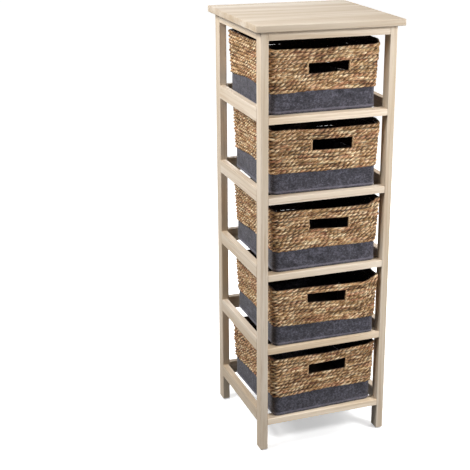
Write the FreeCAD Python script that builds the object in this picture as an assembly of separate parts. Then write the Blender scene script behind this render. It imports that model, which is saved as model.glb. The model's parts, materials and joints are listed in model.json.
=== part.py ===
import FreeCAD, Part
import math
import os

Vector = FreeCAD.Vector

# A narrow stand of pale wood that carries loose baskets one above the other.
# Millimetres. The front faces -Y, and the origin is on the floor at the middle.
# Levels are counted from the top.

# Basket sizes
basket_height = 150.0
felt_width = 252.0
felt_depth = 260.0
felt_height = 48.0
felt_thickness = 3.0
felt_corner = 15.0
felt_foot_radius = 2.5
rope_step = 2.0            # the woven wall stands this far out from the felt below it
rope_lean = 6.0            # each woven wall leans out this far over its height
rope_wall = 12.0
rope_corner = 14.0
rope_rows = 12
rim_sags = (9.0, 5.5, 9.5, 14.0, 3.5)    # of the front rim between its corners, from the top level down
hand_hole_width = 94.0
hand_hole_rows = 3
base_thickness = 4.0
base_gap = 0.5

# Wire inside each basket
ring_radius = 2.0
ring_drop = 20.4           # from the rim's corners down to the top ring's centre line
upright_radius = 1.6
upright_offset = 75.0      # uprights stand this far each side of a wall's middle
wire_gap = 0.2
wire_felt_gap = 0.8

# Where each basket stands, from the top level down
basket_setbacks = (22.0, 18.5, 12.5, 7.0, 10.0)
basket_shifts = (-4.0, 2.4, 4.0, 4.0, 0.0)
basket_turns = (0.3, -1.4, 0.0, -0.4, 1.6)
rows_under_hole = (4.4, 5.7, 5.3, 5.5, 5.65)
hole_shifts = (5.5, 13.0, 1.6, -2.4, 3.2)

# Room left round a basket in its bay
basket_rest_gap = 0.3
basket_headroom = 14.7
basket_side_gap = 7.0
basket_depth_room = 15.0

# Wooden frame
leg_width = 18.0
leg_depth = 28.0
leg_edge_radius = 2.0
rail_thickness = 15.0
rail_edge_radius = 1.0
side_rail_height = 30.0
side_rail_rise = 3.0       # above the underside of the front rail
back_rail_height = 32.0
apron_height = 19.0
lowest_rail_rise = 66.0
runner_width = 28.0
runner_spacing = 150.0     # between the middles of a level's two runners
top_thickness = 15.0
top_side_overhang = 14.0
top_front_overhang = 12.0
top_edge_radius = 2.0

# Dowels, screws and glides
dowel_radius = 3.0
dowel_reach = 10.0         # into each of the two pieces that it joins
dowel_chamfer = 0.6
dowel_edge_distance = 8.0
dowel_fit = 0.05
dowel_end_gap = 0.5
screw_radius = 1.75
screw_length = 28.0
screw_head_radius = 3.5
screw_head_height = 2.2
screw_slot_width = 1.0
screw_slot_depth = 1.0
screw_fit = 0.05
screw_spacing = 140.0
glide_radius = 6.0
glide_thickness = 3.0
nail_radius = 1.0
nail_length = 12.0
nail_fit = 0.05

# Sizes that follow from those above
level_count = len(basket_setbacks)
rope_height = basket_height - felt_height
row_height = rope_height / rope_rows
rope_foot_width = felt_width + 2 * rope_step
rope_foot_depth = felt_depth + 2 * rope_step
rope_top_width = rope_foot_width + 2 * rope_lean
rope_top_depth = rope_foot_depth + 2 * rope_lean
level_pitch = rail_thickness + basket_rest_gap + basket_height + basket_headroom
apron_bottom = lowest_rail_rise + level_count * level_pitch
leg_top = apron_bottom + apron_height
bay_width = rope_top_width + 2 * basket_side_gap
frame_width = bay_width + 2 * leg_width
frame_depth = rope_top_depth + basket_depth_room + rail_thickness
frame_front = -frame_depth / 2
frame_back = frame_depth / 2
legs_inner_front = frame_front + leg_depth
legs_inner_back = frame_back - leg_depth
side_axis = frame_width / 2 - rail_thickness / 2
front_axis = frame_front + rail_thickness / 2
back_axis = frame_back - rail_thickness / 2

AXIS_X = Vector(1, 0, 0)
AXIS_Y = Vector(0, 1, 0)
AXIS_Z = Vector(0, 0, 1)

# The line of a sagging rim: places along half its length, and the share of the sag there
DIP_LINE = ((-1.0, 0.0), (-0.85, 0.75), (-0.55, 1.0), (0.0, 1.0), (0.55, 1.0), (0.85, 0.75), (1.0, 0.0))


def rail_bottom(level):
    """Height of the underside of a level's rails."""
    return lowest_rail_rise + (level_count - 1 - level) * level_pitch


def block(low, high):
    """A plain box between two opposite corners."""
    size = high - low
    return Part.makeBox(size.x, size.y, size.z, low)


def edges_along(shape, direction):
    """The edges of a box that run in one direction."""
    found = []
    for edge in shape.Edges:
        run = edge.Vertexes[-1].Point - edge.Vertexes[0].Point
        if abs(run.dot(direction)) > edge.Length / 2:
            found.append(edge)
    return found


def eased_bar(low, high, direction):
    """A milled bar whose long edges are rounded."""
    bar = block(low, high)
    return bar.makeFillet(rail_edge_radius, edges_along(bar, direction))


def dowel(seat):
    """A dowel with chamfered ends, centred on a joint face."""
    centre, direction = seat
    start = centre - direction * dowel_reach
    pin = Part.makeCylinder(dowel_radius, 2 * dowel_reach, start, direction)
    rims = [edge for edge in pin.Edges if edge.Closed]
    return pin.makeChamfer(dowel_chamfer, rims)


def dowel_bore(seat):
    """The drilled room for a dowel in both of the pieces that it joins."""
    centre, direction = seat
    depth = dowel_reach + dowel_end_gap
    return Part.makeCylinder(dowel_radius + dowel_fit, 2 * depth, centre - direction * depth, direction)


def drilled(piece, bores):
    """A piece with every bore that reaches it cut out."""
    near = [bore for bore in bores if bore.BoundBox.intersect(piece.BoundBox)]
    return piece.cut(near).Solids[0] if near else piece


def leg(side, front):
    """A leg with rounded long edges and a rounded foot; side is -1 or 1."""
    outer = side * frame_width / 2
    inner = side * bay_width / 2
    start = frame_front if front else legs_inner_back
    low = Vector(min(outer, inner), start, glide_thickness)
    high = Vector(max(outer, inner), start + leg_depth, leg_top)
    post = block(low, high)
    foot = [edge for edge in post.Edges if edge.BoundBox.ZMax < low.z + leg_edge_radius]
    return post.makeFillet(leg_edge_radius, edges_along(post, AXIS_Z) + foot)


def top_board():
    """The board on top, its edges rounded, overhanging the frame."""
    half_width = frame_width / 2 + top_side_overhang
    half_depth = frame_depth / 2 + top_front_overhang
    low = Vector(-half_width, -half_depth, leg_top)
    board = block(low, Vector(half_width, half_depth, leg_top + top_thickness))
    return board.makeFillet(top_edge_radius, board.Edges)


def cross_bar(front, depth, bottom, height):
    """A bar from the left legs to the right ones."""
    low = Vector(-bay_width / 2, front, bottom)
    return eased_bar(low, Vector(bay_width / 2, front + depth, bottom + height), AXIS_X)


def side_bar(side, bottom, height):
    """A bar from a front leg to a back leg, flush with their outer faces."""
    middle = side * side_axis
    low = Vector(middle - rail_thickness / 2, legs_inner_front, bottom)
    high = Vector(middle + rail_thickness / 2, legs_inner_back, bottom + height)
    return eased_bar(low, high, AXIS_Y)


def runner(middle, bottom):
    """A flat slat from a front rail to the back rail, level with the front rail's top."""
    low = Vector(middle - runner_width / 2, legs_inner_front, bottom)
    high = Vector(middle + runner_width / 2, frame_back - rail_thickness, bottom + rail_thickness)
    return eased_bar(low, high, AXIS_Y)


def cross_seats(places):
    """Dowel seats at both ends of a cross bar, given as (y, z) pairs."""
    ends = (-bay_width / 2, bay_width / 2)
    return [(Vector(end, y, z), AXIS_X) for end in ends for y, z in places]


def side_seats(side, height):
    """Dowel seats at both ends of a side bar."""
    ends = (legs_inner_front, legs_inner_back)
    return [(Vector(side * side_axis, end, height), AXIS_Y) for end in ends]


def runner_seats(middle, height):
    """Dowel seats at both ends of a runner."""
    ends = (legs_inner_front, frame_back - rail_thickness)
    return [(Vector(middle, end, height), AXIS_Y) for end in ends]


def screw_body(place, spare):
    """Countersunk head and shank, pointing up; spare widens it into its own bore."""
    head = Part.makeCone(screw_head_radius + spare, screw_radius + spare, screw_head_height, place)
    shank = Part.makeCylinder(screw_radius + spare, screw_length + spare, place)
    return head.fuse(shank).removeSplitter()


def screw(place):
    """A countersunk screw with a cross recess in its head."""
    body = screw_body(place, 0)
    half_slot = screw_slot_width / 2
    for reach_x, reach_y in ((screw_head_radius / 2, half_slot), (half_slot, screw_head_radius / 2)):
        reach = Vector(reach_x, reach_y, 0)
        body = body.cut(block(place - reach, place + reach + AXIS_Z * screw_slot_depth))
    return body.Solids[0]


def glide(place):
    """A round glide with the nail that holds it in the leg."""
    disc = Part.makeCylinder(glide_radius, glide_thickness, place)
    nail = Part.makeCylinder(nail_radius, glide_thickness + nail_length, place)
    return disc.fuse(nail).removeSplitter()


def nail_bore(place):
    """The hole in a leg for its glide's nail."""
    length = glide_thickness + nail_length + nail_fit
    return Part.makeCylinder(nail_radius + nail_fit, length, place)


def outline(width, depth, corner, height):
    """A level rectangle with round corners, as a closed wire."""
    flat_x = width / 2 - corner
    flat_y = depth / 2 - corner
    arcs = []
    for turn, (side_x, side_y) in enumerate(((1, 1), (-1, 1), (-1, -1), (1, -1))):
        centre = Vector(side_x * flat_x, side_y * flat_y, height)
        points = []
        for step in (0, 45, 90):
            angle = math.radians(90 * turn + step)
            points.append(centre + Vector(math.cos(angle), math.sin(angle), 0) * corner)
        arcs.append(Part.Arc(*points).toShape())
    edges = []
    for arc, following in zip(arcs, arcs[1:] + arcs[:1]):
        edges.append(arc)
        edges.append(Part.makeLine(arc.Vertexes[-1].Point, following.Vertexes[0].Point))
    return Part.Wire(edges)


def slab(width, depth, corner, bottom, height):
    """An upright block with round corners."""
    return Part.Face(outline(width, depth, corner, bottom)).extrude(AXIS_Z * height)


def felt_tray():
    """The felt lower part of a basket: floor and upright sides."""
    tray = slab(felt_width, felt_depth, felt_corner, 0, felt_height)
    foot = [edge for edge in tray.Edges if edge.BoundBox.ZMax < felt_foot_radius]
    tray = tray.makeFillet(felt_foot_radius, foot)
    inside_width = felt_width - 2 * felt_thickness
    inside_depth = felt_depth - 2 * felt_thickness
    inside_corner = felt_corner - felt_thickness
    return tray.cut(slab(inside_width, inside_depth, inside_corner, felt_thickness, felt_height))


def rope_shell(inset):
    """The tapered block that the woven wall fills, shrunk by an inset on every side."""
    corner = rope_corner - inset
    foot = outline(rope_foot_width - 2 * inset, rope_foot_depth - 2 * inset, corner, felt_height)
    rim = outline(rope_top_width - 2 * inset, rope_top_depth - 2 * inset, corner, basket_height)
    return Part.makeLoft([foot, rim], True, True)


def ring_sizes():
    """Width, depth and corner of the top and bottom rings' centre lines, with their heights."""
    top_height = basket_height - ring_drop
    bottom_height = felt_thickness + wire_gap + ring_radius
    lean = rope_lean * (rope_height - ring_drop) / rope_height
    top_inset = rope_wall / 2
    top_gain = rope_step + lean - top_inset
    felt_top_inset = felt_thickness + wire_felt_gap + upright_radius
    slope = (top_gain + felt_top_inset) / (top_height - felt_height)
    bottom_inset = felt_top_inset + slope * (felt_height - bottom_height)
    top_corner = rope_corner - top_inset
    top = (felt_width + 2 * top_gain, felt_depth + 2 * top_gain, top_corner, top_height)
    bottom_corner = felt_corner - felt_top_inset
    bottom_width = felt_width - 2 * bottom_inset
    bottom_depth = felt_depth - 2 * bottom_inset
    bottom = (bottom_width, bottom_depth, bottom_corner, bottom_height)
    return top, bottom


def wire_ring(size):
    """Round wire bent into a closed ring."""
    path = outline(*size)
    begin, end = (vertex.Point for vertex in path.Edges[-1].Vertexes)
    section = Part.Wire(Part.Circle(begin, end - begin, ring_radius).toShape())
    return path.makePipeShell([section], True, True)


def upright_lines():
    """Start and end of each upright's axis, two on every wall."""
    top, bottom = ring_sizes()
    lines = []
    for side in (-1, 1):
        for place in (-upright_offset, upright_offset):
            low = Vector(place, side * bottom[1] / 2, bottom[3])
            high = Vector(place, side * top[1] / 2, top[3])
            lines.append((low, high))
            low = Vector(side * bottom[0] / 2, place, bottom[3])
            high = Vector(side * top[0] / 2, place, top[3])
            lines.append((low, high))
    return lines


def rod(low, high, radius):
    """A straight round rod between two points."""
    return Part.makeCylinder(radius, (high - low).Length, low, high - low)


def wire_frame():
    """Two rings and the uprights between them, welded into one piece."""
    top, bottom = ring_sizes()
    uprights = [rod(low, high, upright_radius) for low, high in upright_lines()]
    return wire_ring(top).fuse([wire_ring(bottom)] + uprights).removeSplitter()


def ring_channel():
    """The room inside the wall that the top ring lies in."""
    width, depth, corner, height = ring_sizes()[0]
    room = ring_radius + wire_gap
    bottom = height - room
    outside = slab(width + 2 * room, depth + 2 * room, corner + room, bottom, 2 * room)
    return outside.cut(slab(width - 2 * room, depth - 2 * room, corner - room, bottom, 2 * room))


def rim_dip(sag):
    """What the front rim lacks where it sags between its corners."""
    half = rope_top_width / 2 - rope_corner
    front = -rope_top_depth / 2 - rope_wall
    points = [Vector(across * half, front, basket_height - drop * sag) for across, drop in DIP_LINE]
    curve = Part.BSplineCurve()
    curve.interpolate(points)
    lid = [points[-1], points[-1] + AXIS_Z * sag, points[0] + AXIS_Z * sag, points[0]]
    edges = [curve.toShape()] + [Part.makeLine(start, end) for start, end in zip(lid, lid[1:])]
    return Part.Face(Part.Wire(edges)).extrude(AXIS_Y * (2 * rope_wall + rope_lean))


def woven_wall(level):
    """The rope wall of one basket, with its sagging rim, its hand hole and its room for the wire."""
    wall = rope_shell(0).cut(rope_shell(rope_wall))
    bores = [rod(low, high, upright_radius + wire_gap) for low, high in upright_lines()]
    hole_bottom = felt_height + rows_under_hole[level] * row_height
    hole_low = Vector(hole_shifts[level] - hand_hole_width / 2, -rope_top_depth / 2, hole_bottom)
    hole_high = hole_low + Vector(hand_hole_width, rope_top_depth / 2, hand_hole_rows * row_height)
    hole = block(hole_low, hole_high)
    return wall.cut(bores + [ring_channel(), hole, rim_dip(rim_sags[level])]).Solids[0]


def base_panel():
    """The stiff panel that lies on the felt floor inside the bottom ring."""
    width, depth, corner, height = ring_sizes()[1]
    inset = ring_radius + base_gap
    return slab(width - 2 * inset, depth - 2 * inset, corner, felt_thickness, base_thickness)


def set_in_bay(shape, level):
    """A basket piece moved from the basket's own frame to its place in the stand."""
    middle = frame_front + basket_setbacks[level] + felt_depth / 2
    floor = rail_bottom(level) + rail_thickness + basket_rest_gap
    turn = FreeCAD.Rotation(AXIS_Z, basket_turns[level])
    placed = shape.copy()
    placed.Placement = FreeCAD.Placement(Vector(basket_shifts[level], middle, floor), turn)
    return placed


def frame_pieces():
    """Every wooden piece before drilling, and the seats of the dowels between them."""
    wood = {}
    seats = []
    side_names = {-1: "left", 1: "right"}
    runner_middles = (-runner_spacing / 2, runner_spacing / 2)
    for side, name in side_names.items():
        wood["leg_front_" + name] = [leg(side, True)]
        wood["leg_back_" + name] = [leg(side, False)]
        wood["apron_" + name] = [side_bar(side, apron_bottom, apron_height)]
        seats += side_seats(side, apron_bottom + apron_height / 2)
    back_face = frame_back - rail_thickness
    wood["apron_front"] = [cross_bar(frame_front, rail_thickness, apron_bottom, apron_height)]
    wood["apron_back"] = [cross_bar(back_face, rail_thickness, apron_bottom, apron_height)]
    apron_middle = apron_bottom + apron_height / 2
    seats += cross_seats([(front_axis, apron_middle), (back_axis, apron_middle)])
    for level in range(level_count):
        number = str(level + 1)
        bottom = rail_bottom(level)
        flat_middle = bottom + rail_thickness / 2
        wood["front_rail_" + number] = [cross_bar(frame_front, leg_depth, bottom, rail_thickness)]
        wood["back_rail_" + number] = [cross_bar(back_face, rail_thickness, bottom, back_rail_height)]
        seats += cross_seats([
            (frame_front + dowel_edge_distance, flat_middle),
            (legs_inner_front - dowel_edge_distance, flat_middle),
            (back_axis, flat_middle),
        ])
        side_bottom = bottom + side_rail_rise
        for side, name in side_names.items():
            wood[name + "_rail_" + number] = [side_bar(side, side_bottom, side_rail_height)]
            seats += side_seats(side, side_bottom + side_rail_height - dowel_edge_distance)
        wood["runners_" + number] = [runner(middle, bottom) for middle in runner_middles]
        for middle in runner_middles:
            seats += runner_seats(middle, flat_middle)
    wood["top_board"] = [top_board()]
    return wood, seats


def screw_places():
    """Under the aprons: two in front, two at the back and one at each side."""
    places = []
    for x in (-screw_spacing / 2, screw_spacing / 2):
        places.append(Vector(x, front_axis, apron_bottom))
        places.append(Vector(x, back_axis, apron_bottom))
    for side in (-1, 1):
        places.append(Vector(side * side_axis, 0, apron_bottom))
    return places


def glide_places():
    """On the floor under the middle of each leg."""
    half_x = frame_width / 2 - leg_width / 2
    half_y = frame_depth / 2 - leg_depth / 2
    return [Vector(x, y, 0) for x in (-half_x, half_x) for y in (-half_y, half_y)]


def build():
    """Every node of the unit, as a list of solids under its name."""
    wood, seats = frame_pieces()
    bores = [dowel_bore(seat) for seat in seats]
    bores += [screw_body(place, screw_fit) for place in screw_places()]
    bores += [nail_bore(place) for place in glide_places()]
    nodes = {}
    for name, pieces in wood.items():
        nodes[name] = [drilled(piece, bores) for piece in pieces]
    nodes["dowels"] = [dowel(seat) for seat in seats]
    nodes["top_screws"] = [screw(place) for place in screw_places()]
    nodes["leg_glides"] = [glide(place) for place in glide_places()]
    tray = felt_tray()
    frame_wire = wire_frame()
    panel = base_panel()
    for level in range(level_count):
        basket = "basket_" + str(level + 1)
        nodes[basket + "_felt"] = [set_in_bay(tray, level)]
        nodes[basket + "_base"] = [set_in_bay(panel, level)]
        nodes[basket + "_wire"] = [set_in_bay(frame_wire, level)]
        nodes[basket + "_weave"] = [set_in_bay(woven_wall(level), level)]
    return nodes


os.makedirs("parts", exist_ok=True)
for node_name, solids in build().items():
    shape = solids[0] if len(solids) == 1 else Part.makeCompound(solids)
    shape.exportStep("parts/" + node_name + ".step")
    print(node_name, len(shape.Solids), shape.isValid(), round(shape.Volume))
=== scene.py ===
import json
import math
import random

import bmesh
import bpy
import numpy
from mathutils import Matrix, Vector


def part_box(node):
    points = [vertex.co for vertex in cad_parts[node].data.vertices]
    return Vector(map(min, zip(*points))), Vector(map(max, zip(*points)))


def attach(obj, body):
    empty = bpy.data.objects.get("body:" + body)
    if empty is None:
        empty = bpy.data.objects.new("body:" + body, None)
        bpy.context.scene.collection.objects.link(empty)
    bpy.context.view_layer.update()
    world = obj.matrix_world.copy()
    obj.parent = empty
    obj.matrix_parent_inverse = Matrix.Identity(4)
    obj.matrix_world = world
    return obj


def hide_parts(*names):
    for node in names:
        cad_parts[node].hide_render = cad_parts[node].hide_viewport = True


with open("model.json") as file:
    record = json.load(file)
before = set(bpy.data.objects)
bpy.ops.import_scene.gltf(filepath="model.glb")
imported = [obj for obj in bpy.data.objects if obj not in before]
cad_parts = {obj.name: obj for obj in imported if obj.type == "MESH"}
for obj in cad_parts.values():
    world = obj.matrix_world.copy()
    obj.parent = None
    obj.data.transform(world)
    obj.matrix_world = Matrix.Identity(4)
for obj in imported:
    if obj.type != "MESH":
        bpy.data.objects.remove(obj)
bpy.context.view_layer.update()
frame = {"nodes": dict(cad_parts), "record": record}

# A pale wooden stand with loose rope baskets. Metres, in the stand's own frame: the front
# faces -Y. Levels are counted from the top.

LEVELS = (1, 2, 3, 4, 5)
MM_PER_METRE = 1000

# How each basket is turned on its level, in degrees, as in the part
BASKET_TURNS = {1: 0.3, 2: -1.4, 3: 0.0, 4: -0.4, 5: 1.6}
BASKET_SEED = 100               # each basket has random draws of its own, counted on from this

# The woven wall
ROPE_ROWS = 12
ROPE_INSET = 0.0048             # from the wall's outer face to the middle of the rope
ROPE_CORNER = 0.014             # radius of the wall's outer corners
ROPE_BEND = ROPE_CORNER - ROPE_INSET
ROPE_STEP = 0.0035              # the wall stands this far out from the felt at its foot
ROPE_LAY = 0.025                # length of one full twist
LAY_SPREAD = (0.9, 1.15)        # a row's twists, as a share of the usual number
STEPS_PER_TWIST = 8
STRAND_RADIUS = 0.0025
STRAND_OFFSET = 0.0023          # from the middle of the rope to the middle of a strand
STRAND_ROUNDNESS = 2
STRAND_STAGGER = 0.37           # share of a row between the thick places of its two strands
CORE_RADIUS = 0.0023
CORE_OFFSET = 0.0021            # from the middle of the rope to the middle of a core
BINDING_SIZE = 0.6              # of the rope along the ends of a hand hole
HOLE_SHIFT = 0.0025             # of the gap in the rope towards +X, from the part's hand hole

# Wobbles: how far they go, and how many waves of each kind run round the basket
ROW_LIFT = (0.0003, (2, 3, 5, 9))
ROW_SWELL = (0.0004, (3, 5, 8, 13))
TWIST_SLACK = (0.45, (3, 7, 12, 17))            # in radians
STRAND_SWELL = (0.07, (7, 19, 31, 43))          # as a share of a strand's thickness
FELT_RIPPLE = (0.0004, (3, 5, 7, 11))

# How far each basket's rows lie off their usual height, in millimetres. The seam between felt
# and rope, and the rim: at the front's left end, middle and right end, then at the middle of a
# side. The ears: where the rim passes the left and right front corner. The waist: at the left
# and right end of the hand hole.
SEAM_LIFTS = {
    1: (-2.0, 0.5, -1.0, 9.0),
    2: (-1.0, -2.0, -1.4, 9.0),
    3: (0.0, 1.0, -2.0, 8.0),
    4: (0.0, -2.0, -8.0, 6.0),
    5: (-0.5, 2.5, -0.5, 7.0),
}
RIM_LIFTS = {
    1: (-8.0, -10.0, -7.5, -3.0),
    2: (-3.5, -6.5, -5.0, -4.0),
    3: (-6.5, -9.5, -10.5, -4.0),
    4: (-12.0, -14.0, -16.0, -6.0),
    5: (-2.5, -4.5, -2.0, -3.0),
}
EARS = {1: (0.0, 2.5), 2: (4.0, 2.0), 3: (-3.5, 3.0), 4: (-9.0, -3.0), 5: (0.0, 3.5)}
WAIST_LIFTS = {
    1: (-1.0, 1.0),
    2: (1.0, -1.0),
    3: (0.0, -4.0),
    4: (-1.0, -4.0),
    5: (-1.0, -2.0),
}

# Where the rim starts to climb to its right ear, and over which length, in eighths of the way
# round from the middle of the front: the right front corner is near 1
EAR_STARTS = {1: 0.94, 2: 0.94, 3: 0.78, 4: 0.78, 5: 0.82}
EAR_LENGTH = 0.18

# The rows of rope that the hand hole interrupts, counted up from the seam
HOLE_ROWS = {1: (5, 6, 7), 2: (6, 7, 8), 3: (6, 7, 8), 4: (7, 8, 9), 5: (6, 7, 8)}

# The felt
FELT_THICKNESS = 0.003
FELT_CORNER = 0.015
FELT_CORNER_SEGMENTS = 7
FELT_FOOT_RADIUS = 0.0025
FELT_FOOT_SEGMENTS = 3
FELT_CUTS_ALONG = 24
FELT_CUTS_UP = 20
FACING_UP = 0.9                 # a face that points upwards has at least this much of it
HEM_HEIGHT = 0.0062
HEM_REACH = 0.0025              # above and below the middle of the hem
HEM_SIZE = 0.0012               # the hem stands this far out

# Colours as they look on a screen, 0 to 255. Tones run from dark to light.
WOOD_TONES = ((194, 174, 147), (210, 194, 173), (222, 209, 192))
WOOD_LINE = (180, 153, 122)
WOOD_PORE = (156, 128, 98)
ROPE_TONES = ((92, 55, 27), (200, 155, 107), (255, 234, 194))
# The cores' dark tones are painted shade for the creases between the strands
CORE_SHADE_TONES = ((40, 24, 12), (74, 48, 26), (104, 72, 44))
ROPE_RUDDY = (190, 128, 98)
ROPE_OLIVE = (164, 136, 82)
# Painted shade: the rope darkens towards this in the creases between strands and on the wall's
# inner side
ROPE_PAINTED_SHADE = (42, 22, 10)
FELT_TONES = ((39, 38, 44), (65, 64, 72), (100, 98, 110))
FELT_FLECK = (132, 130, 145)
# Painted highlight on the ridge of the hem
FELT_HEM_HIGHLIGHT = (150, 147, 162)
BOARD_TONES = ((46, 38, 33), (82, 70, 60))
WIRE_TONES = ((22, 21, 20), (48, 45, 42))
STEEL_TONES = ((150, 148, 142), (206, 204, 198))
PLASTIC_TONES = ((30, 27, 25), (52, 48, 44))

# The wood: pieces that are lighter or darker than the rest, and how far each piece's pattern
# may lie from the next one's
LIGHTNESS = {
    "top_board": 0.83,
    "front_rail_1": 1.24,
    "front_rail_2": 1.12,
    "front_rail_3": 1.17,
    "front_rail_4": 1.32,
    "front_rail_5": 1.36,
}
GRAIN_SPREAD = 5.0
DOWEL_SEED = 99

# The light
LAMP_DISTANCE = 1.7
LAMPS = {                       # azimuth in degrees, height, power and width
    "left": (-80.0, 2.2, 56.0, 0.9),
    "far left": (-97.0, 1.75, 11.0, 0.9),
    "right": (37.0, 1.6, 32.0, 0.5),
    "low": (35.0, 0.3, 10.5, 0.9),
    "side": (105.0, 1.3, 16.0, 0.9),
    "back": (165.0, 1.0, 16.0, 0.9),
}
ROOM_POWER = 0.035              # of the white room's light; seen past the floor it is plain white

# The floor: half its side, its paint, and its glow, which grows from near the stand to further out
FLOOR_SIZE = 30.0
FLOOR_PAINT = 0.93
NEAR_GLOW = 0.45
GLOW_START = 0.2
GLOW_END = 1.4
GLOW_SPAN = 2.0                 # that the whole ramp of the glow covers

# The camera
CAMERA_AIM = Vector((-0.0390, -0.1297, 0.5185))
CAMERA_AZIMUTH = -22.69
CAMERA_ELEVATION = 19.20
CAMERA_ROLL = 0.83
CAMERA_DISTANCE = 2.552
CAMERA_LENS = 86.36
CAMERA_SHIFT = -0.1532

# Sockets of a Mix node that mixes colours
MIX_FACTOR, MIX_FIRST, MIX_SECOND = 0, 6, 7
MIX_RESULT = 2


class Value:
    """An output of a node. Arithmetic with it adds Math nodes."""

    def __init__(self, nodes, socket):
        self.nodes = nodes
        self.socket = socket

    def math(self, operation, *values):
        settings = {"operation": operation}
        return self.nodes.node("ShaderNodeMath", settings, dict(enumerate(values)))

    def __add__(self, other):
        return self.math("ADD", self, other)

    def __mul__(self, other):
        return self.math("MULTIPLY", self, other)

    __radd__ = __add__
    __rmul__ = __mul__


class Nodes:
    """A tree of shader nodes, with one method that adds any node."""

    def __init__(self, tree):
        self.tree = tree

    def node(self, kind, settings, inputs, output=0):
        made = self.tree.nodes.new(kind)
        for key, setting in settings.items():
            if key == "stops":
                self.set_stops(made.color_ramp, setting)
            else:
                setattr(made, key, setting)
        for place, value in inputs.items():
            self.feed(made.inputs[place], value)
        return Value(self, made.outputs[output])

    def set_stops(self, ramp, stops):
        while len(ramp.elements) < len(stops):
            ramp.elements.new(1.0)
        for element, (place, tone) in zip(ramp.elements, stops):
            element.position = place
            element.color = tone

    def feed(self, socket, value):
        if isinstance(value, Value):
            self.tree.links.new(value.socket, socket)
        else:
            socket.default_value = value


class Finish(Nodes):
    """A material in the making."""

    def __init__(self, name):
        self.material = bpy.data.materials.new(name)
        self.material.use_nodes = True
        super().__init__(self.material.node_tree)
        self.shader = self.tree.nodes["Principled BSDF"]

    def shade(self, **inputs):
        """Feeds the shader's sockets; underscores stand for the spaces in their names."""
        for name, value in inputs.items():
            self.feed(self.shader.inputs[name.replace("_", " ")], value)
        return self.material

    def coordinates(self, scale, shift=(0, 0, 0)):
        """Places on the piece; a scale counts a pattern's lumps to the metre along each axis."""
        place = self.node("ShaderNodeTexCoord", {}, {}, "Object")
        inputs = {"Vector": place, "Location": shift, "Scale": scale}
        return self.node("ShaderNodeMapping", {}, inputs)

    def combine(self, x, y, z):
        return self.node("ShaderNodeCombineXYZ", {}, {"X": x, "Y": y, "Z": z})

    def noise(self, where, scale=1.0, detail=2.0, roughness=0.5, distortion=0.0):
        inputs = {
            "Vector": where,
            "Scale": scale,
            "Detail": detail,
            "Roughness": roughness,
            "Distortion": distortion,
        }
        return self.node("ShaderNodeTexNoise", {}, inputs, "Fac")

    def ramp(self, value, places, tones):
        stops = tuple(zip(places, tones))
        return self.node("ShaderNodeValToRGB", {"stops": stops}, {"Fac": value}, "Color")

    def step(self, value, low, high):
        """0 at low, 1 at high and smooth between."""
        settings = {"interpolation_type": "SMOOTHSTEP"}
        inputs = {"Value": value, "From Min": low, "From Max": high}
        return self.node("ShaderNodeMapRange", settings, inputs, "Result")

    def mix(self, factor, first, second, blend="MIX"):
        settings = {"data_type": "RGBA", "blend_type": blend}
        inputs = {MIX_FACTOR: factor, MIX_FIRST: first, MIX_SECOND: second}
        return self.node("ShaderNodeMix", settings, inputs, MIX_RESULT)

    def bump(self, height, strength, distance):
        inputs = {"Height": height, "Strength": strength, "Distance": distance}
        return self.node("ShaderNodeBump", {}, inputs, "Normal")


def colour(red, green, blue):
    """A colour given as it looks on a screen, 0 to 255, in the scene's linear light."""
    linear = []
    for level in (red, green, blue):
        share = level / 255
        linear.append(share / 12.92 if share <= 0.04045 else ((share + 0.055) / 1.055) ** 2.4)
    return (*linear, 1.0)


def colours(tones):
    """Several colours, each as above."""
    return [colour(*tone) for tone in tones]


def grey(level):
    """A plain grey, already in linear light."""
    return (level, level, level, 1.0)


def pale_wood(name, grain, seed, lightness=1.0):
    """Bare pale wood; grain is the axis that its fibres run along."""
    finish = Finish(name)
    draw = random.Random(seed)
    shift = tuple(draw.uniform(-GRAIN_SPREAD, GRAIN_SPREAD) for _ in range(3))
    along = {"x": 0, "y": 1, "z": 2}[grain]

    def stretched(long_scale, cross_scale):
        scale = [cross_scale] * 3
        scale[along] = long_scale
        return finish.coordinates(scale, shift)

    broad = finish.noise(stretched(1.8, 30.0), detail=3.0)
    lines = finish.noise(stretched(3.0, 150.0), detail=4.0, roughness=0.65, distortion=0.5)
    pores = finish.noise(stretched(28.0, 800.0), detail=2.0)
    line_mask = finish.step(lines, low=0.46, high=0.68)
    pore_mask = finish.step(pores, low=0.60, high=0.78)
    base = finish.ramp(broad, (0.32, 0.50, 0.68), colours(WOOD_TONES))
    lined = finish.mix(line_mask * 0.55, base, colour(*WOOD_LINE))
    pored = finish.mix(pore_mask * 0.35, lined, colour(*WOOD_PORE))
    height = lines * 0.5 + pores * 0.5
    return finish.shade(
        Base_Color=finish.mix(1.0, pored, grey(lightness), "MULTIPLY"),
        Roughness=0.62 + pore_mask * 0.2,
        Normal=finish.bump(height, strength=0.25, distance=0.0006),
        Specular_IOR_Level=0.3,
    )


def turned_dowel(name):
    """The dowels' wood, all with its grain from front to back."""
    return pale_wood(name, "y", DOWEL_SEED)


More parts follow.
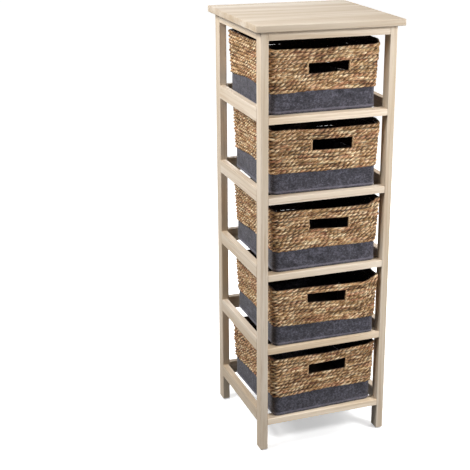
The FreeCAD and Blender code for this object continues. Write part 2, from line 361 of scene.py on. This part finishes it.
def twisted_rope(name, tones):
    """Dry plant fibre along each strand; painted shade darkens the creases and leaves the wall's
    inner side nearly black.
    """
    finish = Finish(name)
    place = finish.node("ShaderNodeTexCoord", {}, {}, "Object")
    lie = finish.node("ShaderNodeTexCoord", {}, {}, "UV")
    height = finish.node("ShaderNodeSeparateXYZ", {}, {"Vector": place}, "Z")
    along = finish.node("ShaderNodeSeparateXYZ", {}, {"Vector": lie}, "X")
    around = finish.node("ShaderNodeSeparateXYZ", {}, {"Vector": lie}, "Y")
    fibre_place = finish.combine(along * 70.0, around * 9.0, height * 120.0)
    blade_place = finish.combine(along * 45.0, around * 2.2, height * 120.0)
    ruddy_place = finish.combine(along * 22.0, around, height * 150.0)
    fibres = finish.noise(fibre_place, detail=3.0, roughness=0.65)
    blades = finish.noise(blade_place, detail=1.0)
    ruddy = finish.noise(ruddy_place, detail=1.0)
    patches = finish.noise(place, scale=32.0, detail=2.0)
    tone = blades * 0.47 + fibres * 0.43 + patches * 0.10
    straw = finish.ramp(tone, (0.395, 0.50, 0.605), colours(tones))
    ruddy_mask = finish.step(ruddy, low=0.54, high=0.68)
    olive_mask = finish.step(ruddy, low=0.46, high=0.34)
    warm = finish.mix(ruddy_mask * 0.5, straw, colour(*ROPE_RUDDY))
    olive = finish.mix(olive_mask * 0.35, warm, colour(*ROPE_OLIVE))
    # Painted shade: the deeper a point lies in the wall, the nearer its colour comes to the dark
    # shade
    outward = finish.node("ShaderNodeAttribute", {"attribute_name": "outward"}, {}, "Fac")
    outside = finish.step(outward, low=0.0002, high=0.0042)
    return finish.shade(
        Base_Color=finish.mix(outside, colour(*ROPE_PAINTED_SHADE), olive),
        Roughness=0.55 + fibres * 0.3,
        Normal=finish.bump(fibres, strength=0.6, distance=0.0008),
        Specular_IOR_Level=0.35,
    )


def melange_felt(name):
    """Pressed felt of dark and light blue-grey fibres, paler along the hem as a painted highlight.
    """
    finish = Finish(name)
    clouds = finish.noise(finish.coordinates((55.0, 55.0, 65.0)), detail=4.0, roughness=0.65)
    tufts = finish.noise(finish.coordinates((210.0, 210.0, 260.0)), detail=2.0, roughness=0.6)
    fibres = finish.noise(finish.coordinates((900.0, 900.0, 700.0)), detail=3.0, roughness=0.7)
    flecks = finish.noise(finish.coordinates((330.0, 330.0, 420.0), shift=(3, 1, 2)), detail=1.0)
    tone = clouds * 0.38 + tufts * 0.40 + fibres * 0.22
    base = finish.ramp(tone, (0.38, 0.50, 0.62), colours(FELT_TONES))
    fleck_mask = finish.step(flecks, low=0.58, high=0.74)
    flecked = finish.mix(fleck_mask * 0.28, base, colour(*FELT_FLECK))
    # Painted highlight: the hem's ridge is painted paler
    hem = finish.node("ShaderNodeAttribute", {"attribute_name": "hem"}, {}, "Fac")
    return finish.shade(
        Base_Color=finish.mix(hem * 0.5, flecked, colour(*FELT_HEM_HIGHLIGHT)),
        Roughness=0.9,
        Normal=finish.bump(fibres + clouds * 0.6, strength=0.5, distance=0.0012),
        Specular_IOR_Level=0.15,
        Sheen_Weight=0.25,
        Sheen_Roughness=0.5,
    )


def dark_board(name):
    """Hardboard, finely pressed."""
    finish = Finish(name)
    grain = finish.noise(finish.coordinates((240.0, 240.0, 240.0)), detail=4.0, roughness=0.7)
    return finish.shade(
        Base_Color=finish.ramp(grain, (0.35, 0.65), colours(BOARD_TONES)),
        Roughness=0.7,
        Normal=finish.bump(grain, strength=0.3, distance=0.0005),
    )


def painted_wire(name):
    """Black paint with fine dust in it."""
    finish = Finish(name)
    specks = finish.noise(finish.coordinates((500.0, 500.0, 500.0)), detail=2.0)
    return finish.shade(
        Base_Color=finish.ramp(specks, (0.4, 0.7), colours(WIRE_TONES)),
        Roughness=0.4 + specks * 0.2,
    )


def plated_steel(name):
    """Zinc with fine marks across the screws."""
    finish = Finish(name)
    marks = finish.noise(finish.coordinates((300.0, 300.0, 1500.0)), detail=3.0)
    return finish.shade(
        Base_Color=finish.ramp(marks, (0.3, 0.7), colours(STEEL_TONES)),
        Metallic=1.0,
        Roughness=0.25 + marks * 0.25,
    )


def moulded_plastic(name):
    """Dark plastic with a fine grain from the mould."""
    finish = Finish(name)
    grain = finish.noise(finish.coordinates((900.0, 900.0, 900.0)), detail=1.0)
    return finish.shade(
        Base_Color=finish.ramp(grain, (0.3, 0.7), colours(PLASTIC_TONES)),
        Roughness=0.5 + grain * 0.2,
        Normal=finish.bump(grain, strength=0.2, distance=0.0003),
    )


def dress(node, material):
    """Gives a node of the part one finish all over."""
    for slot in frame["nodes"][node].material_slots:
        slot.material = material


def dress_stand():
    """Wood with its grain along each bar, and finishes for what holds the bars together."""
    grains = {
        "leg_": "z",
        "front_rail": "x",
        "back_rail": "x",
        "apron_front": "x",
        "apron_back": "x",
        "top_board": "x",
    }
    others = {"dowels": turned_dowel, "top_screws": plated_steel, "leg_glides": moulded_plastic}
    for seed, node in enumerate(sorted(frame["nodes"])):
        if node in others:
            dress(node, others[node](node))
        elif not node.startswith("basket_"):
            grain = next((axis for start, axis in grains.items() if node.startswith(start)), "y")
            dress(node, pale_wood("wood_" + node, grain, seed, LIGHTNESS.get(node, 1.0)))


def true_halves(low, high, turn, corner):
    """Half width and half depth of a turned block with round corners, from the box around it."""
    cosine, sine = math.cos(turn), abs(math.sin(turn))
    loss = corner * (cosine + sine - 1)
    box_x = (high.x - low.x) / 2 + loss
    box_y = (high.y - low.y) / 2 + loss
    share = cosine ** 2 - sine ** 2
    return (box_x * cosine - box_y * sine) / share, (box_y * cosine - box_x * sine) / share


def eased(stations, share):
    """Millimetres given at stations round the basket, eased between them, in metres.

    A station is counted in eighths of the way round from the middle of the front, towards +X."""
    place = (share % 1.0) * 8
    nexts = stations[1:] + ((stations[0][0] + 8, stations[0][1]),)
    if place < stations[0][0]:
        place += 8
    for (start, first), (end, last) in zip(stations, nexts):
        if start <= place <= end:
            ease = (1 - math.cos(math.pi * (place - start) / (end - start))) / 2
            return (first + (last - first) * ease) / MM_PER_METRE


def waves(draw, size, counts):
    """A smooth wobble round a closed loop, as a function of the share of the way round."""
    parts = [(count, draw.uniform(0, 2 * math.pi), draw.uniform(0.5, 1.0)) for count in counts]

    def wobble(share):
        turn = 2 * math.pi * share
        return size * sum(part * math.sin(turn * count + phase) for count, phase, part in parts)

    return wobble


class Basket:
    """One basket: its sizes and place, taken from the part's boxes."""

    def __init__(self, level):
        self.level = level
        self.name = "basket_" + str(level)
        self.random = random.Random(BASKET_SEED + level)
        felt_low, felt_high = (Vector(corner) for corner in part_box(self.name + "_felt"))
        weave_low, weave_high = (Vector(corner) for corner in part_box(self.name + "_weave"))
        turn = math.radians(BASKET_TURNS[level])
        self.felt_half = true_halves(felt_low, felt_high, turn, FELT_CORNER)
        self.rim_half = true_halves(weave_low, weave_high, turn, ROPE_CORNER)
        self.felt_height = felt_high.z - felt_low.z
        self.height = weave_high.z - felt_low.z
        middle = (felt_low + felt_high) / 2
        foot = Matrix.Translation((middle.x, middle.y, felt_low.z))
        self.place = foot @ Matrix.Rotation(turn, 4, "Z")
        openings = frame["record"]["physics"]["openings"]
        boxes = {opening["name"]: opening["box_m"] for opening in openings}
        self.hole = [Vector(corner) for corner in boxes[self.name + "_hand_hole"]]

    def seam_lift(self, share):
        """How far the seam lies above its usual height, at a share of the way round."""
        left, middle, right, side = SEAM_LIFTS[self.level]
        front = ((0, middle), (1, right))
        back = ((2, side), (3, 0), (5, 0), (6, side), (7, left))
        return eased(front + back, share)

    def rim_lift(self, share):
        """How far the rim lies above its usual height: it sags between the front corners."""
        left, middle, right, side = RIM_LIFTS[self.level]
        left_ear, right_ear = EARS[self.level]
        start = EAR_STARTS[self.level]
        front = ((0, middle), (0.6, right), (start, right))
        right_side = ((start + EAR_LENGTH, right_ear), (1.5, right_ear), (2, side))
        left_side = ((6, side), (6.5, left_ear), (6.9, left_ear), (7.06, left), (7.4, left))
        return eased(front + right_side + left_side, share)

    def row_height(self, row, share):
        """Height of the middle of a row of rope."""
        foot = self.felt_height + self.seam_lift(share)
        rim = self.height + self.rim_lift(share)
        left, right = WAIST_LIFTS[self.level]
        waist = eased(((0.35, right), (1.2, 0), (6.8, 0), (7.65, left)), share)
        part = (row + 0.5) / ROPE_ROWS
        return foot + (rim - foot) * part + 4 * part * (1 - part) * waist

    def wall_place(self, share, height):
        """Point on the rope's middle line and the way out of the wall.

        share runs from 0 to 1 round the basket from the middle of the front, towards +X first."""
        rise = (height - self.felt_height) / (self.height - self.felt_height)
        half_x, half_y = (
            felt + ROPE_STEP + (rim - felt - ROPE_STEP) * rise - ROPE_INSET
            for felt, rim in zip(self.felt_half, self.rim_half)
        )
        bend = ROPE_BEND * math.pi / 2
        # Half of each wall's flat stretch, and how far out the wall stands
        walls = ((half_x - ROPE_BEND, half_y), (half_y - ROPE_BEND, half_x)) * 2
        girth = sum(2 * flat + bend for flat, _ in walls)
        along = (share % 1.0) * girth + walls[0][0]
        wall = 0
        while along > 2 * walls[wall % 4][0] + bend:
            along -= 2 * walls[wall % 4][0] + bend
            wall += 1
        flat, reach = walls[wall % 4]
        if along <= 2 * flat:
            out = Vector((0, -1, 0))
            point = Vector((along - flat, -reach, height))
        else:
            angle = (along - 2 * flat) / ROPE_BEND
            out = Vector((math.sin(angle), -math.cos(angle), 0))
            point = Vector((flat, ROPE_BEND - reach, height)) + out * ROPE_BEND
        turn = Matrix.Rotation(wall * math.pi / 2, 3, "Z")
        return turn @ point, turn @ out

    def girth(self):
        """Length of the rope's middle line at half height."""
        half_x, half_y = (
            (felt + rim) / 2 - ROPE_INSET for felt, rim in zip(self.felt_half, self.rim_half)
        )
        return 4 * (half_x + half_y) - (8 - 2 * math.pi) * ROPE_BEND

    def hole_ends(self):
        """Where the hand hole starts and ends across the front, in the basket's own frame."""
        low, high = self.hole
        middle = self.place.inverted() @ ((low + high) / 2)
        half = (high.x - low.x) / 2
        return middle.x + HOLE_SHIFT - half, middle.x + HOLE_SHIFT + half


def add_spline(curve, points, radii, material, closed):
    """A line of points, given round thickness by the curve's bevel."""
    spline = curve.splines.new("POLY")
    spline.points.add(len(points) - 1)
    for spot, point, radius in zip(spline.points, points, radii):
        spot.co = (*point, 1.0)
        spot.radius = radius
    spline.use_cyclic_u = closed
    spline.use_smooth = True
    spline.material_index = material


def lay_rope(curve, basket, route, twists, first=0.0, closed=True, size=1.0):
    """Two strands twisted round two cores along a route of shares round the basket and heights.

    first is the angle at which the twist starts, and size is a share of the usual rope's."""
    count = round(twists * STEPS_PER_TWIST)
    wobbles = (ROW_LIFT, ROW_SWELL, TWIST_SLACK, STRAND_SWELL)
    lift, swell, slack, thick = (waves(basket.random, *wobble) for wobble in wobbles)
    flush = (1 - size) * (STRAND_OFFSET + STRAND_RADIUS)
    step = 0.5 / count
    strands = ([], [])
    cores = ([], [])
    for index in range(count if closed else count + 1):
        travelled = index / count
        point, out = basket.wall_place(*route(travelled))
        before, _ = basket.wall_place(*route(travelled - step))
        after, _ = basket.wall_place(*route(travelled + step))
        across = out.cross((after - before).normalized())
        point = point + across * lift(travelled) + out * (swell(travelled) + flush)
        angle = 2 * math.pi * twists * travelled + first + slack(travelled)
        for side, strand in enumerate(strands):
            turned = angle + side * math.pi
            offset = (out * math.cos(turned) + across * math.sin(turned)) * STRAND_OFFSET * size
            strand.append(basket.place @ (point + offset))
        for side, core in zip((-1, 1), cores):
            core.append(basket.place @ (point + across * CORE_OFFSET * size * side))
    for side, strand in enumerate(strands):
        shares = ((index / count + side * STRAND_STAGGER) % 1.0 for index in range(len(strand)))
        radii = [size * (1 + thick(share)) for share in shares]
        add_spline(curve, strand, radii, 0, closed)
    for core in cores:
        sparse = core[::STEPS_PER_TWIST // 2]
        radii = [size * CORE_RADIUS / STRAND_RADIUS] * len(sparse)
        add_spline(curve, sparse, radii, 1, closed)


def row_route(basket, row, start=0.0, end=1.0):
    """The way of one row of rope between two shares of the way round the basket."""

    def route(travelled):
        share = start + (end - start) * travelled
        return share, basket.row_height(row, share)

    return route


def bind_hole(curve, basket, rows, share):
    """A thin rope up one end of the hand hole."""
    low = basket.row_height(rows[0], share)
    high = basket.row_height(rows[-1], share)
    spare = (high - low) / (len(rows) - 1) / 2
    length = high - low + 2 * spare

    def route(travelled):
        return share, low - spare + length * travelled

    twists = length / (ROPE_LAY * BINDING_SIZE)
    lay_rope(curve, basket, route, twists, closed=False, size=BINDING_SIZE)


def mark_outside(basket, mesh):
    """Keeps how far each point lies outside the middle of the wall, for the painted shade in the
    rope's finish.
    """
    spots = numpy.empty(len(mesh.vertices) * 3)
    mesh.vertices.foreach_get("co", spots)
    inward = numpy.array(basket.place.inverted())
    spots = spots.reshape(-1, 3) @ inward[:3, :3].T + inward[:3, 3]
    rise = (spots[:, 2:] - basket.felt_height) / (basket.height - basket.felt_height)
    foot = numpy.array(basket.felt_half) + ROPE_STEP
    half = foot + (numpy.array(basket.rim_half) - foot) * rise - ROPE_INSET
    past = numpy.abs(spots[:, :2]) - half + ROPE_BEND
    round_corner = numpy.linalg.norm(numpy.maximum(past, 0), axis=1)
    beyond = round_corner + numpy.minimum(past.max(axis=1), 0) - ROPE_BEND
    mesh.attributes.new("outward", "FLOAT", "POINT").data.foreach_set("value", beyond)


def add_piece(name, mesh):
    """An object for a mesh that is already in its place."""
    piece = bpy.data.objects.new(name, mesh)
    bpy.context.scene.collection.objects.link(piece)
    return piece


def weave_wall(basket, rope, core):
    """The woven wall as rows of twisted rope, open at the hand hole."""
    curve = bpy.data.curves.new(basket.name + "_rows", "CURVE")
    curve.dimensions = "3D"
    curve.bevel_depth = STRAND_RADIUS
    curve.bevel_resolution = STRAND_ROUNDNESS
    curve.use_fill_caps = True
    girth = basket.girth()
    binding = (STRAND_OFFSET + STRAND_RADIUS) * BINDING_SIZE
    left, right = basket.hole_ends()
    start = (right + binding) / girth
    end = 1 + (left - binding) / girth
    interrupted = HOLE_ROWS[basket.level]
    for row in range(ROPE_ROWS):
        first = basket.random.uniform(0, 2 * math.pi)
        twists = round(girth / ROPE_LAY * basket.random.uniform(*LAY_SPREAD))
        if row in interrupted:
            route = row_route(basket, row, start, end)
            first += 2 * math.pi * twists * start
            lay_rope(curve, basket, route, twists * (end - start), first, closed=False)
        else:
            lay_rope(curve, basket, row_route(basket, row), twists, first)
    for share in (start, end):
        bind_hole(curve, basket, interrupted, share)
    template = bpy.data.objects.new(basket.name + "_template", curve)
    mesh = bpy.data.meshes.new_from_object(template)
    bpy.data.objects.remove(template)
    mesh.materials.clear()
    mesh.materials.append(rope)
    mesh.materials.append(core)
    mark_outside(basket, mesh)
    piece = add_piece(basket.name + "_rope", mesh)
    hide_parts(basket.name + "_weave")
    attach(piece, basket.name)


def drop(edge):
    """How far an edge runs up or down."""
    return abs(edge.verts[0].co.z - edge.verts[1].co.z)


def round_edges(shape, edges, radius, segments):
    """Rounds some edges of a bmesh."""
    bmesh.ops.bevel(
        shape,
        geom=edges,
        offset=radius,
        affect="EDGES",
        segments=segments,
        profile=0.5,
        material=-1,
    )


def cut_tray(basket):
    """The felt tray as an open box with round corners and foot, cut finely, at the origin."""
    shape = bmesh.new()
    half_x, half_y = basket.felt_half
    size = Matrix.Diagonal((2 * half_x, 2 * half_y, basket.felt_height, 1))
    rise = Matrix.Translation((0, 0, basket.felt_height / 2))
    bmesh.ops.create_cube(shape, size=1.0, matrix=rise @ size)
    uprights = [edge for edge in shape.edges if drop(edge) > FELT_CORNER]
    round_edges(shape, uprights, FELT_CORNER, FELT_CORNER_SEGMENTS)
    top = [face for face in shape.faces if face.normal.z > FACING_UP]
    bmesh.ops.delete(shape, geom=top, context="FACES_ONLY")
    foot = [
        edge for edge in shape.edges
        if max(vert.co.z for vert in edge.verts) < FELT_FOOT_RADIUS
    ]
    round_edges(shape, foot, FELT_FOOT_RADIUS, FELT_FOOT_SEGMENTS)
    long = [edge for edge in shape.edges if edge.calc_length() > half_x]
    bmesh.ops.subdivide_edges(shape, edges=long, cuts=FELT_CUTS_ALONG, use_grid_fill=True)
    tall = [edge for edge in shape.edges if drop(edge) > basket.felt_height / 2]
    bmesh.ops.subdivide_edges(shape, edges=tall, cuts=FELT_CUTS_UP, use_grid_fill=True)
    return shape


def ease_felt(basket, shape):
    """Gives the tray a hem, slightly uneven sides and the seam's height at its upper edge."""
    upper, lower = (waves(basket.random, *FELT_RIPPLE) for _ in range(2))
    # The hem's share raises its ridge and also sets the felt's painted highlight
    hem = shape.verts.layers.float.new("hem")
    for vert in shape.verts:
        share = math.atan2(vert.co.x, -vert.co.y) / (2 * math.pi)
        rise = vert.co.z / basket.felt_height
        out = Vector((vert.co.x, vert.co.y, 0)).normalized()
        ripple = upper(share) * rise + lower(share) * (1 - rise)
        bulge = math.sin(math.pi * min(max(rise, 0), 1)) * ripple
        vert[hem] = max(0.0, 1 - abs(vert.co.z - HEM_HEIGHT) / HEM_REACH)
        if vert.co.z > FELT_FOOT_RADIUS / 2:
            vert.co += out * (bulge + HEM_SIZE * vert[hem])
        vert.co.z += basket.seam_lift(share) * rise


def sew_felt(basket, felt):
    """The felt tray in its place, with its own thickness."""
    shape = cut_tray(basket)
    ease_felt(basket, shape)
    bmesh.ops.transform(shape, matrix=basket.place, verts=shape.verts)
    for face in shape.faces:
        face.smooth = True
    mesh = bpy.data.meshes.new(basket.name + "_felt_cut")
    shape.to_mesh(mesh)
    shape.free()
    mesh.materials.append(felt)
    piece = add_piece(basket.name + "_felt_tray", mesh)
    solid = piece.modifiers.new("thickness", "SOLIDIFY")
    solid.thickness = FELT_THICKNESS
    solid.offset = -1.0
    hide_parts(basket.name + "_felt")
    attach(piece, basket.name)
    width, depth = (2 * half for half in basket.felt_half)
    height = basket.felt_height
    flat = (width + 2 * height, depth + 2 * height)
    area = width * depth + 2 * (width + depth) * height


def dress_baskets():
    """Rope, felt, base panel and wire of all the baskets."""
    rope = twisted_rope("rope", ROPE_TONES)
    core = twisted_rope("rope_core_shade", CORE_SHADE_TONES)
    felt = melange_felt("felt")
    board = dark_board("base_board")
    wire = painted_wire("wire")
    for level in LEVELS:
        basket = Basket(level)
        weave_wall(basket, rope, core)
        sew_felt(basket, felt)
        dress(basket.name + "_base", board)
        dress(basket.name + "_wire", wire)


def add_floor():
    """A wide pale floor that the stand rests on."""
    shape = bmesh.new()
    bmesh.ops.create_grid(shape, x_segments=1, y_segments=1, size=FLOOR_SIZE)
    mesh = bpy.data.meshes.new("floor")
    shape.to_mesh(mesh)
    shape.free()
    finish = Finish("floor")
    place = finish.node("ShaderNodeTexCoord", {}, {}, "Object")
    away = finish.node("ShaderNodeVectorMath", {"operation": "LENGTH"}, {0: place}, "Value")
    places = (GLOW_START / GLOW_SPAN, GLOW_END / GLOW_SPAN)
    glow = finish.ramp(away * (1 / GLOW_SPAN), places, (grey(NEAR_GLOW), grey(1.0)))
    white = finish.shade(
        Base_Color=grey(FLOOR_PAINT),
        Roughness=0.9,
        Specular_IOR_Level=0.0,
        Emission_Color=glow,
        Emission_Strength=1.0,
    )
    mesh.materials.append(white)
    floor = add_piece("floor", mesh)
    floor.visible_diffuse = False


def add_lamp(name, azimuth, height, power, width):
    """A soft square lamp on a ring round the stand, aimed where the camera aims."""
    lamp = bpy.data.lights.new(name, "AREA")
    lamp.energy = power
    lamp.size = width
    holder = bpy.data.objects.new(name, lamp)
    angle = math.radians(azimuth)
    across, back = math.sin(angle), -math.cos(angle)
    holder.location = (across * LAMP_DISTANCE, back * LAMP_DISTANCE, height)
    facing = (CAMERA_AIM - holder.location).to_track_quat("-Z", "Y")
    holder.rotation_euler = facing.to_euler()
    bpy.context.scene.collection.objects.link(holder)


def light_studio():
    """Lamps to the left, the front right, the right and behind, in a pale room."""
    for name, settings in LAMPS.items():
        add_lamp(name, *settings)
    world = bpy.data.worlds.new("pale room")
    world.use_nodes = True
    room = Nodes(world.node_tree)
    seen = room.node("ShaderNodeLightPath", {}, {}, "Is Camera Ray")
    backdrop = room.tree.nodes["Background"]
    room.feed(backdrop.inputs["Color"], grey(1.0))
    room.feed(backdrop.inputs["Strength"], seen * (1 - ROOM_POWER) + ROOM_POWER)
    bpy.context.scene.world = world
    bpy.context.scene.view_settings.view_transform = "Standard"


def place_camera():
    """The camera at the photograph's place, a little rolled and shifted."""
    lens = bpy.data.cameras.new("camera")
    lens.lens = CAMERA_LENS
    lens.shift_x = CAMERA_SHIFT
    camera = bpy.data.objects.new("camera", lens)
    azimuth = Matrix.Rotation(math.radians(CAMERA_AZIMUTH), 4, "Z")
    tilt = Matrix.Rotation(math.pi / 2 - math.radians(CAMERA_ELEVATION), 4, "X")
    roll = Matrix.Rotation(math.radians(CAMERA_ROLL), 4, "Z")
    turn = azimuth @ tilt @ roll
    back = turn.to_3x3() @ Vector((0, 0, 1))
    camera.matrix_world = Matrix.Translation(CAMERA_AIM + back * CAMERA_DISTANCE) @ turn
    bpy.context.scene.collection.objects.link(camera)
    bpy.context.scene.camera = camera


place_camera()
light_studio()
add_floor()
dress_stand()
dress_baskets()
